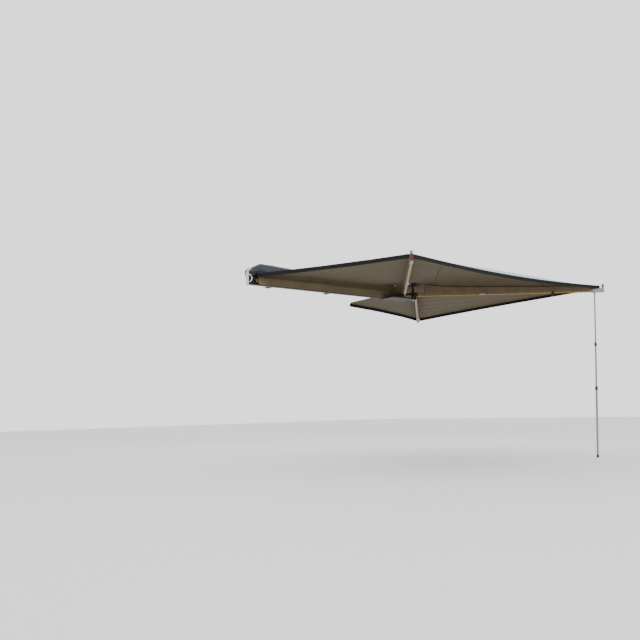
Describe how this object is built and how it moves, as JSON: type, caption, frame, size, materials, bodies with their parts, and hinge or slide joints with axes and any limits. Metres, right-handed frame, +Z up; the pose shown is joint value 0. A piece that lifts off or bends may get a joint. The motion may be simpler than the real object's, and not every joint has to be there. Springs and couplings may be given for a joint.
{
  "type": "vehicle side awning",
  "caption": "Side awning for a roof rack: canopy arms fan round one upright pin at a rail's end, with a telescoping pole hinged to the tip of an arm.",
  "frame": {"origin": "centre of the middle rack bracket's foot, on its underside", "axes": "+X along the rail towards the hinge end, +Y inboard over the rack, +Z up"},
  "size_m": [4.2647, 3.2714, 2.2835],
  "materials": {
    "black_powder_coat": "fine textured black powder coat",
    "champagne_aluminium": "satin champagne anodised",
    "bright_aluminium": "satin clear anodised",
    "pole_aluminium": "grey anodised",
    "zinc_steel": "zinc plated",
    "nylon": "moulded nylon",
    "black_plastic": "moulded glass filled nylon",
    "rubber": "moulded rubber",
    "canvas": "coated woven canvas, khaki under and blue-grey on top",
    "black_webbing": "woven webbing",
    "brown_webbing": "woven canvas binding",
    "coated_cover": "glossy coated cloth",
    "orange_webbing": "woven webbing"
  },
  "bodies": {
    "root": {"backing_rail": "black_powder_coat", "rail_arm": "champagne_aluminium", "rack_bracket_front": "black_powder_coat", "rack_bracket_middle": "black_powder_coat", "rack_bracket_rear": "black_powder_coat", "hub_bracket": "black_powder_coat", "king_pin": "zinc_steel", "pin_nut": "zinc_steel", "thrust_washer_1": "nylon", "thrust_washer_2": "nylon", "thrust_washer_3": "nylon", "thrust_washer_4": "nylon", "hub_post": "black_powder_coat", "hub_crown": "black_plastic", "end_plate": "bright_aluminium", "pull_loop": "nylon", "rail_wall": "canvas", "travel_cover": "coated_cover", "canopy_panel_a": "canvas"},
    "arm_2": {"knuckle_2": "black_powder_coat", "bush_2": "nylon", "arm_tube_2": "champagne_aluminium", "root_bolt_2": "zinc_steel", "tip_fitting_2": "bright_aluminium", "corner_patch_2": "black_webbing", "tip_knob_2": "bright_aluminium", "arm_sleeve_2": "brown_webbing", "tension_strap": "orange_webbing", "canopy_panel_b": "canvas"},
    "arm_3": {"knuckle_3": "black_powder_coat", "bush_3": "nylon", "arm_tube_3": "champagne_aluminium", "root_bolt_3": "zinc_steel", "tip_fitting_3": "bright_aluminium", "corner_patch_3": "black_webbing", "tip_knob_3": "bright_aluminium", "arm_sleeve_3": "brown_webbing", "hanging_bar": "bright_aluminium", "bar_post_inner": "black_plastic", "bar_post_outer": "black_plastic", "pole_clip": "black_plastic", "pole_pin": "zinc_steel", "canopy_panel_c": "canvas"},
    "arm_4": {"knuckle_4": "black_powder_coat", "bush_4": "nylon", "arm_tube_4": "champagne_aluminium", "root_bolt_4": "zinc_steel", "tip_fitting_4": "bright_aluminium", "corner_patch_4": "black_webbing", "tip_knob_4": "bright_aluminium", "arm_sleeve_4": "brown_webbing", "canopy_panel_d": "canvas"},
    "pole": {"pole_eye": "bright_aluminium", "pole_upper": "pole_aluminium"},
    "pole_middle": {"pole_mid": "pole_aluminium"},
    "pole_bottom": {"pole_lower": "pole_aluminium", "pole_foot": "rubber"},
    "upper_collar": {"collar_upper": "black_plastic"},
    "lower_collar": {"collar_lower": "black_plastic"}
  },
  "joints": [
    {"name": "arm_2_fold", "type": "hinge", "parent": "root", "child": "arm_2", "pos_m": [1.25, -0.244, 0], "axis": [0, 0, 1], "range_deg": [-45.5, 0], "deforming": ["canopy_panel_a"]},
    {"name": "arm_3_fold", "type": "hinge", "parent": "arm_2", "child": "arm_3", "pos_m": [1.25, -0.244, 0], "axis": [0, 0, 1], "range_deg": [-93.9, 0], "deforming": ["canopy_panel_b"]},
    {"name": "arm_4_fold", "type": "hinge", "parent": "arm_3", "child": "arm_4", "pos_m": [1.25, -0.244, 0], "axis": [0, 0, 1], "range_deg": [-82.6, 0], "deforming": ["canopy_panel_c", "canopy_panel_d"]},
    {"name": "pole_tilt", "type": "hinge", "parent": "arm_3", "child": "pole", "pos_m": [2.94578, -1.78439, 0.008], "axis": [0.6508, 0.7593, 0], "range_deg": [0, 88.8]},
    {"name": "pole_middle_slide", "type": "slide", "parent": "pole", "child": "pole_middle", "axis": [0.0159, -0.0136, 0.9998], "range_m": [0, 0.5]},
    {"name": "pole_bottom_slide", "type": "slide", "parent": "pole_middle", "child": "pole_bottom", "axis": [0.0159, -0.0136, 0.9998], "range_m": [0, 0.5]},
    {"name": "upper_collar_twist", "type": "hinge", "parent": "pole_middle", "child": "upper_collar", "pos_m": [2.93584, -1.77587, -0.61686], "axis": [0.0159, -0.0136, 0.9998], "range_deg": [0, 60]},
    {"name": "lower_collar_twist", "type": "hinge", "parent": "pole_bottom", "child": "lower_collar", "pos_m": [2.92702, -1.7683, -1.17174], "axis": [0.0159, -0.0136, 0.9998], "range_deg": [0, 60]}
  ]
}
